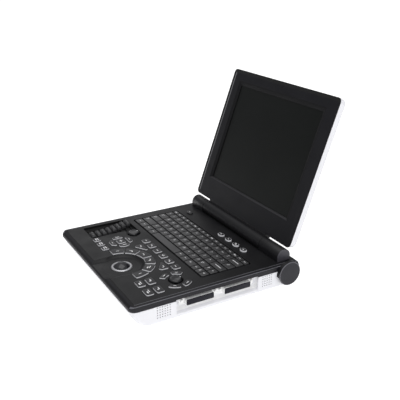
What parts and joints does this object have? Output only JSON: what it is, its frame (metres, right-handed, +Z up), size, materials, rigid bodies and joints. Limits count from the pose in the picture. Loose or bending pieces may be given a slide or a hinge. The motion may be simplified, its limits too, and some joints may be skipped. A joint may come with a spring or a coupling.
{
  "type": "ultrasound scanner",
  "caption": "Laptop-shaped veterinary ultrasound scanner: keyboard, trackball and slider console, tilting display lid on a barrel hinge, and side sockets for the probes.",
  "frame": {"origin": "centre of the model's bounding box, at the level the feet stand on, with the lid open as stored", "axes": "+X to the operator's right, +Y away from the operator, +Z up"},
  "size_m": [0.3786, 0.4584, 0.3661],
  "materials": {
    "white_plastic": "satin white moulded plastic",
    "black_plastic": "fine-grained black plastic",
    "dark_plastic": "smooth dark grey plastic",
    "key_grey": "silk-matt dark grey keys",
    "rubber": "matt black rubber",
    "board_green": "solder-masked circuit board",
    "display_glass": "dark glossy display glass",
    "display_module": "silver-coated frame of a display module",
    "panel_metal": "plain sheet metal",
    "steel": "bright nickel finish",
    "heat_sink": "plain extruded aluminium",
    "ball": "polished dark resin",
    "battery": "shrink-wrapped pack"
  },
  "bodies": {
    "console": {"bottom_housing": "white_plastic", "probe_panel": "white_plastic", "console_cover": "black_plastic", "disc_hood": "black_plastic", "hinge_knuckle_left": "black_plastic", "hinge_knuckle_right": "black_plastic", "keyboard_tray": "dark_plastic", "trackball_socket": "dark_plastic", "end_disc": "dark_plastic", "keyboard_keys": "key_grey", "control_key_sheet": "key_grey", "fan_housing": "rubber", "foot_front_left": "rubber", "foot_front_right": "rubber", "foot_rear_left": "rubber", "foot_rear_right": "rubber", "main_board": "board_green", "beamformer_board": "board_green", "tgc_board": "board_green", "rear_port_panel": "panel_metal", "trackball_ring": "steel", "probe_socket_front": "steel", "probe_socket_rear": "steel", "hinge_shaft_left": "steel", "hinge_shaft_right": "steel", "heat_sink": "heat_sink", "battery_pack": "battery"},
    "lid": {"lid_back_shell": "white_plastic", "lid_bezel": "black_plastic", "lcd_panel": "display_module", "display_glass": "display_glass", "lid_neck": "black_plastic"},
    "trackball": {"trackball": "ball"},
    "gain_knob": {"gain_knob": "dark_plastic"},
    "menu_knob": {"menu_knob": "dark_plastic"},
    "fan_rotor": {"fan_rotor": "rubber"},
    "space_bar": {"space_bar": "key_grey"},
    "power_button": {"power_button": "dark_plastic"},
    "tgc_slider_1": {"tgc_slider_1": "dark_plastic"},
    "tgc_slider_2": {"tgc_slider_2": "dark_plastic"},
    "tgc_slider_3": {"tgc_slider_3": "dark_plastic"},
    "tgc_slider_4": {"tgc_slider_4": "dark_plastic"},
    "tgc_slider_5": {"tgc_slider_5": "dark_plastic"},
    "tgc_slider_6": {"tgc_slider_6": "dark_plastic"},
    "tgc_slider_7": {"tgc_slider_7": "dark_plastic"},
    "tgc_slider_8": {"tgc_slider_8": "dark_plastic"},
    "arc_key_1": {"arc_key_1": "key_grey"},
    "arc_key_2": {"arc_key_2": "key_grey"},
    "arc_key_3": {"arc_key_3": "key_grey"},
    "arc_key_4": {"arc_key_4": "key_grey"},
    "arc_key_5": {"arc_key_5": "key_grey"},
    "arc_key_6": {"arc_key_6": "key_grey"},
    "menu_key_1": {"menu_key_1": "key_grey"},
    "menu_key_2": {"menu_key_2": "key_grey"},
    "menu_key_3": {"menu_key_3": "key_grey"},
    "menu_key_4": {"menu_key_4": "key_grey"},
    "function_button_1": {"function_button_1": "dark_plastic"},
    "function_button_2": {"function_button_2": "dark_plastic"},
    "function_button_3": {"function_button_3": "dark_plastic"},
    "function_button_4": {"function_button_4": "dark_plastic"}
  },
  "joints": [
    {"name": "lid_hinge", "type": "hinge", "parent": "console", "child": "lid", "pos_m": [-0.00425, 0.10676, 0.0604], "axis": [-1, 0, 0], "range_deg": [-109.5, 22]},
    {"name": "trackball_roll", "type": "hinge", "parent": "console", "child": "trackball", "pos_m": [0.02275, -0.17724, 0.036], "axis": [1, 0, 0], "continuous": true},
    {"name": "gain_knob_turn", "type": "hinge", "parent": "console", "child": "gain_knob", "pos_m": [-0.09825, -0.09724, 0.051], "axis": [0, 0, 1], "range_deg": [-150, 150]},
    {"name": "menu_knob_turn", "type": "hinge", "parent": "console", "child": "menu_knob", "pos_m": [0.12875, -0.11424, 0.051], "axis": [0, 0, 1], "continuous": true},
    {"name": "fan_spin", "type": "hinge", "parent": "console", "child": "fan_rotor", "pos_m": [-0.17575, 0.05876, 0.0245], "axis": [1, 0, 0], "continuous": true},
    {"name": "tgc_slider_1_slide", "type": "slide", "parent": "console", "child": "tgc_slider_1", "axis": [1, 0, 0], "range_m": [-0.0307, 0.0008]},
    {"name": "tgc_slider_2_slide", "type": "slide", "parent": "console", "child": "tgc_slider_2", "axis": [1, 0, 0], "range_m": [-0.02959, 0.00191]},
    {"name": "tgc_slider_3_slide", "type": "slide", "parent": "console", "child": "tgc_slider_3", "axis": [1, 0, 0], "range_m": [-0.02733, 0.00417]},
    {"name": "tgc_slider_4_slide", "type": "slide", "parent": "console", "child": "tgc_slider_4", "axis": [1, 0, 0], "range_m": [-0.02426, 0.00724]},
    {"name": "tgc_slider_5_slide", "type": "slide", "parent": "console", "child": "tgc_slider_5", "axis": [1, 0, 0], "range_m": [-0.02049, 0.01101]},
    {"name": "tgc_slider_6_slide", "type": "slide", "parent": "console", "child": "tgc_slider_6", "axis": [1, 0, 0], "range_m": [-0.01611, 0.01539]},
    {"name": "tgc_slider_7_slide", "type": "slide", "parent": "console", "child": "tgc_slider_7", "axis": [1, 0, 0], "range_m": [-0.01116, 0.02034]},
    {"name": "tgc_slider_8_slide", "type": "slide", "parent": "console", "child": "tgc_slider_8", "axis": [1, 0, 0], "range_m": [-0.0057, 0.0258]},
    {"name": "space_bar_press", "type": "slide", "parent": "console", "child": "space_bar", "axis": [0, 0, -1], "range_m": [0, 0.0014], "stiffness_N_per_m": 400, "springref_m": -0.0005},
    {"name": "power_button_press", "type": "slide", "parent": "console", "child": "power_button", "axis": [0, 0, -1], "range_m": [0, 0.0013], "stiffness_N_per_m": 400, "springref_m": -0.0005},
    {"name": "arc_key_1_press", "type": "slide", "parent": "console", "child": "arc_key_1", "axis": [0, 0, -1], "range_m": [0, 0.0012], "stiffness_N_per_m": 400, "springref_m": -0.0005},
    {"name": "arc_key_2_press", "type": "slide", "parent": "console", "child": "arc_key_2", "axis": [0, 0, -1], "range_m": [0, 0.0012], "stiffness_N_per_m": 400, "springref_m": -0.0005},
    {"name": "arc_key_3_press", "type": "slide", "parent": "console", "child": "arc_key_3", "axis": [0, 0, -1], "range_m": [0, 0.0012], "stiffness_N_per_m": 400, "springref_m": -0.0005},
    {"name": "arc_key_4_press", "type": "slide", "parent": "console", "child": "arc_key_4", "axis": [0, 0, -1], "range_m": [0, 0.0012], "stiffness_N_per_m": 400, "springref_m": -0.0005},
    {"name": "arc_key_5_press", "type": "slide", "parent": "console", "child": "arc_key_5", "axis": [0, 0, -1], "range_m": [0, 0.0012], "stiffness_N_per_m": 400, "springref_m": -0.0005},
    {"name": "arc_key_6_press", "type": "slide", "parent": "console", "child": "arc_key_6", "axis": [0, 0, -1], "range_m": [0, 0.0012], "stiffness_N_per_m": 400, "springref_m": -0.0005},
    {"name": "menu_key_1_press", "type": "slide", "parent": "console", "child": "menu_key_1", "axis": [0, 0, -1], "range_m": [0, 0.0012], "stiffness_N_per_m": 400, "springref_m": -0.0005},
    {"name": "menu_key_2_press", "type": "slide", "parent": "console", "child": "menu_key_2", "axis": [0, 0, -1], "range_m": [0, 0.0012], "stiffness_N_per_m": 400, "springref_m": -0.0005},
    {"name": "menu_key_3_press", "type": "slide", "parent": "console", "child": "menu_key_3", "axis": [0, 0, -1], "range_m": [0, 0.0012], "stiffness_N_per_m": 400, "springref_m": -0.0005},
    {"name": "menu_key_4_press", "type": "slide", "parent": "console", "child": "menu_key_4", "axis": [0, 0, -1], "range_m": [0, 0.0012], "stiffness_N_per_m": 400, "springref_m": -0.0005},
    {"name": "function_button_1_press", "type": "slide", "parent": "console", "child": "function_button_1", "axis": [0, 0, -1], "range_m": [0, 0.0013], "stiffness_N_per_m": 400, "springref_m": -0.0005},
    {"name": "function_button_2_press", "type": "slide", "parent": "console", "child": "function_button_2", "axis": [0, 0, -1], "range_m": [0, 0.0013], "stiffness_N_per_m": 400, "springref_m": -0.0005},
    {"name": "function_button_3_press", "type": "slide", "parent": "console", "child": "function_button_3", "axis": [0, 0, -1], "range_m": [0, 0.0013], "stiffness_N_per_m": 400, "springref_m": -0.0005},
    {"name": "function_button_4_press", "type": "slide", "parent": "console", "child": "function_button_4", "axis": [0, 0, -1], "range_m": [0, 0.0013], "stiffness_N_per_m": 400, "springref_m": -0.0005}
  ]
}
